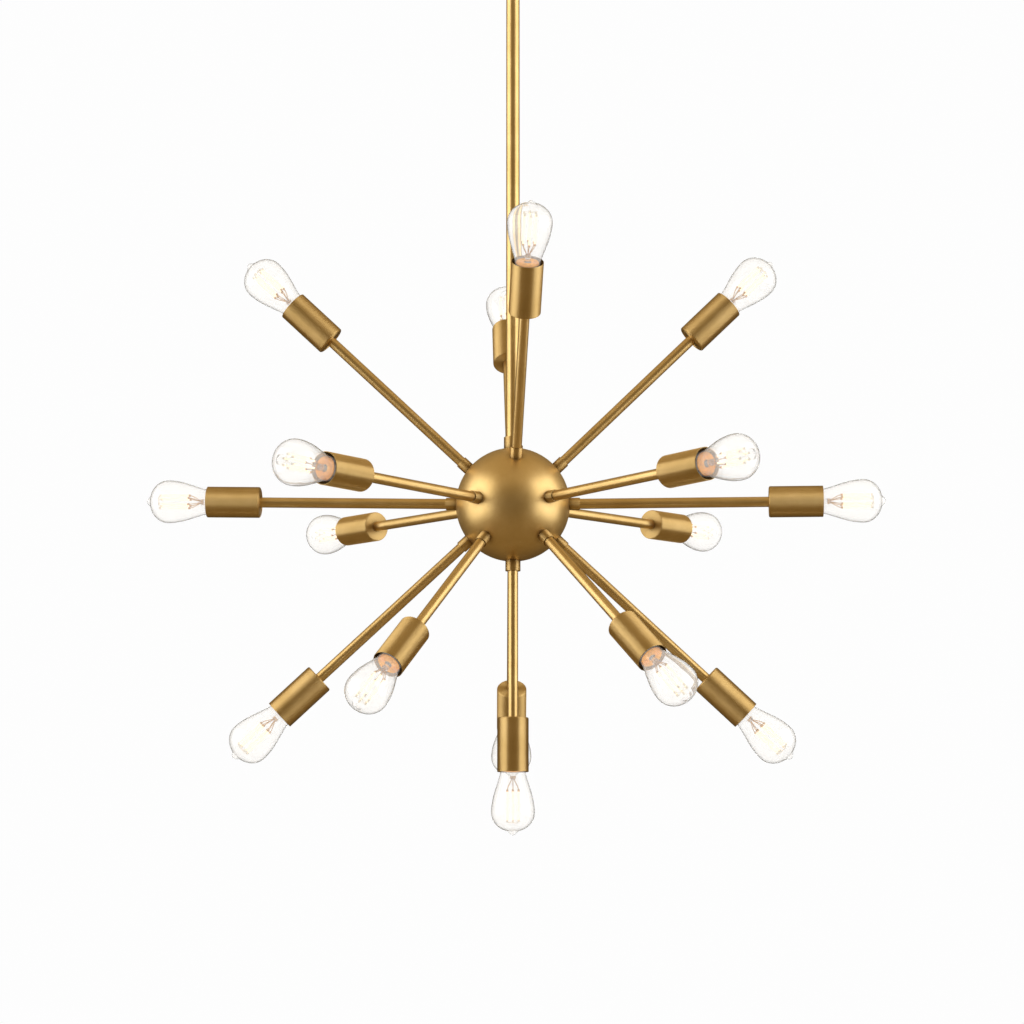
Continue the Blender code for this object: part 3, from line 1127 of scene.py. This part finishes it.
@dataclass
class Lights:
    """The sixteen cups and lamps, copied from one set of patterns.

    Attributes:
        palette: The finishes.
        arms: The arms' axes.
    """

    palette: Palette
    arms: dict[str, Axis]

    def patterns(self) -> tuple[dict[str, bpy.types.Object], dict[str, bpy.types.Object]]:
        """Model the cup and the lamp once, at the size of the first arm's nodes."""
        name, axis = next(iter(self.arms.items()))
        cup_node, lamp_node = "cup_" + name, "lamp_" + name
        length = axis.span(cup_node)[1]
        base, tip = axis.span(lamp_node)
        tube = axis.radius("arm_" + name, above=-0.01)
        base_radius = axis.radius(lamp_node, below=length - 0.02)
        lamp = Lamp(self.palette, mouth=length, base=base, tip=tip,
                    glass_radius=axis.radius(lamp_node), base_radius=base_radius)
        cup = Cup(self.palette, length=length, radius=axis.radius(cup_node), hole_radius=tube,
                  holder_radius=base_radius + 0.0005, holder_top=base + lamp.base_length - 0.0015)
        return cup.patterns(), lamp.patterns()

    def build(self) -> None:
        """Copy the patterns onto every arm and remove them."""
        cup, lamp = self.patterns()
        for name, axis in self.arms.items():
            for part, pattern in cup.items():
                piece = copied(pattern, f"{part}_{name}", axis.place)
                nodes = ("cup_" + name,) if part == "can" else ()
                settle(piece, PENDANT, "satin_brass", *nodes)
            for part, pattern in lamp.items():
                piece = copied(pattern, f"lamp_{part}_{name}", axis.place)
                nodes = ("lamp_" + name,) if part == "glass" else ()
                settle(piece, f"lamp_{name}_body", "clear_glass", *nodes)
        for pattern in (*cup.values(), *lamp.values()):
            bpy.data.objects.remove(pattern)


# ---------------------------------------------------------------- studio


@dataclass
class Studio:
    """A white studio: pale floor, two tall side panels, a dim room for the brass to mirror.

    Attributes:
        hub: Centre of the ball.
        floor_height: Height of the floor.
        distance: From the camera to the ball.
        elevation: Camera's angle above the ball, in degrees.
        azimuth: Camera's turn about the ball, in degrees.
        focal: Focal length in millimetres on a 36 mm sensor.
        shift: Small lens shift, right and up.
    """

    hub: Vector
    floor_height: float = -2.45
    distance: float = 3.325
    elevation: float = -8.55
    azimuth: float = 0.05
    focal: float = 88.1
    shift: tuple[float, float] = (-0.0009, -0.0072)

    def floor(self) -> None:
        """A plain pale floor that the brass doesn't mirror."""
        deselect_all()
        bpy.ops.mesh.primitive_plane_add(size=28.0, location=(0.0, 0.0, self.floor_height))
        floor = bpy.context.object
        floor.name = "studio_floor"
        recipe = Recipe("pale_floor")
        cloud = recipe.noise(scale=0.8, detail=3.0)
        recipe.link(recipe.blended(recipe.ranged(cloud, 0.0, 1.0), (0.88, 0.88, 0.88), (0.85, 0.85, 0.85)),
                    recipe.shader.inputs["Base Color"])
        recipe.fix(Roughness=0.9)
        dress(floor, recipe.material)
        floor.visible_glossy = False

    def room(self) -> None:
        """White surroundings, mirrored as a dim room: brighter above, darker in front and behind."""
        world = bpy.data.worlds.new("studio")
        world.use_nodes = True
        bpy.context.scene.world = world
        nodes, links = world.node_tree.nodes, world.node_tree.links
        white = nodes["Background"]
        white.inputs["Color"].default_value = (1.0, 1.0, 1.0, 1.0)
        white.inputs["Strength"].default_value = 0.985
        where = nodes.new("ShaderNodeTexCoord")
        split = nodes.new("ShaderNodeSeparateXYZ")
        height = nodes.new("ShaderNodeMapRange")
        height.inputs["From Min"].default_value = -1.0
        ramp = nodes.new("ShaderNodeValToRGB")
        stops = ramp.color_ramp.elements
        stops[0].position, stops[0].color = Shade.FLOOR.value, (0.29, 0.20, 0.095, 1.0)
        stops[1].position, stops[1].color = Shade.CEILING.value, (0.52, 0.38, 0.20, 1.0)
        middle = stops.new(Shade.HORIZON.value)
        middle.color = (0.27, 0.187, 0.09, 1.0)
        dim = nodes.new("ShaderNodeBackground")
        depth = nodes.new("ShaderNodeMapRange")
        depth.inputs["From Min"].default_value = -1.0
        dimmed = nodes.new("ShaderNodeValToRGB")
        ends = dimmed.color_ramp.elements
        ends[0].color = (0.60, 0.60, 0.60, 1.0)
        ends[1].color = (0.35, 0.35, 0.35, 1.0)
        for place in (0.14, 0.68):
            ends.new(place).color = (1.0, 1.0, 1.0, 1.0)
        links.new(split.outputs["Y"], depth.inputs["Value"])
        links.new(depth.outputs["Result"], dimmed.inputs["Fac"])
        links.new(dimmed.outputs["Color"], dim.inputs["Strength"])
        rays = nodes.new("ShaderNodeLightPath")
        mirrored = nodes.new("ShaderNodeMath")
        mirrored.operation = "SUBTRACT"
        mirrored.use_clamp = True
        choice = nodes.new("ShaderNodeMixShader")
        links.new(where.outputs["Generated"], split.inputs["Vector"])
        links.new(split.outputs["Z"], height.inputs["Value"])
        links.new(height.outputs["Result"], ramp.inputs["Fac"])
        links.new(ramp.outputs["Color"], dim.inputs["Color"])
        links.new(rays.outputs["Is Glossy Ray"], mirrored.inputs[0])
        links.new(rays.outputs["Is Transmission Ray"], mirrored.inputs[1])
        links.new(mirrored.outputs["Value"], choice.inputs["Fac"])
        links.new(white.outputs["Background"], choice.inputs[1])
        links.new(dim.outputs["Background"], choice.inputs[2])
        links.new(choice.outputs["Shader"], nodes["World Output"].inputs["Surface"])

    def panel(self, name: str, place: Sequence[float], size: tuple[float, float], power: float) -> None:
        """A soft light panel that faces the ball.

        Args:
            name: Its name.
            place: Its centre, from the ball.
            size: Width and height.
            power: Light in watts.
        """
        light = bpy.data.lights.new(name, "AREA")
        light.shape = "RECTANGLE"
        light.size, light.size_y = size
        light.energy = power
        item = bpy.data.objects.new(name, light)
        item.location = self.hub + Vector(place)
        item.rotation_euler = (-Vector(place)).to_track_quat("-Z", "Y").to_euler()
        item.visible_camera = False
        item.visible_transmission = False
        bpy.context.scene.collection.objects.link(item)

    def lights(self) -> None:
        """Tall panels to the left and to the right, a little in front of the object."""
        self.panel("left_panel", (-2.3, -0.6, 0.4), (2.9, 3.0), 50.0)
        self.panel("right_panel", (2.3, -0.6, 0.4), (2.9, 3.0), 50.0)

    def camera(self) -> None:
        """The camera, in front of the object and a little below the ball, looking up."""
        lens = bpy.data.cameras.new("camera")
        lens.lens = self.focal
        lens.shift_x, lens.shift_y = self.shift
        camera = bpy.data.objects.new("camera", lens)
        azimuth, elevation = math.radians(self.azimuth), math.radians(self.elevation)
        away = Vector((math.sin(azimuth) * math.cos(elevation), -math.cos(azimuth) * math.cos(elevation),
                       math.sin(elevation)))
        camera.location = self.hub + away * self.distance
        camera.rotation_euler = (-away).to_track_quat("-Z", "Y").to_euler()
        bpy.context.scene.collection.objects.link(camera)
        bpy.context.scene.camera = camera

    def build(self) -> None:
        """Set up the studio."""
        bpy.context.scene.view_settings.view_transform = "Standard"
        self.floor()
        self.room()
        self.lights()
        self.camera()


def main() -> None:
    """Build the studio and every sub-assembly."""
    logging.basicConfig(level=logging.INFO, format="%(message)s")
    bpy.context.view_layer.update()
    palette = Palette()
    arms = arm_axes()
    low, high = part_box("hub_shell")
    Studio((low + high) / 2).build()
    Hub(palette, arms).build()
    for name, axis in arms.items():
        Arm(palette, name, axis).build()
    Lights(palette, arms).build()
    Ceiling(palette).build()
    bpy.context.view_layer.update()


if __name__ == "__main__":
    main()
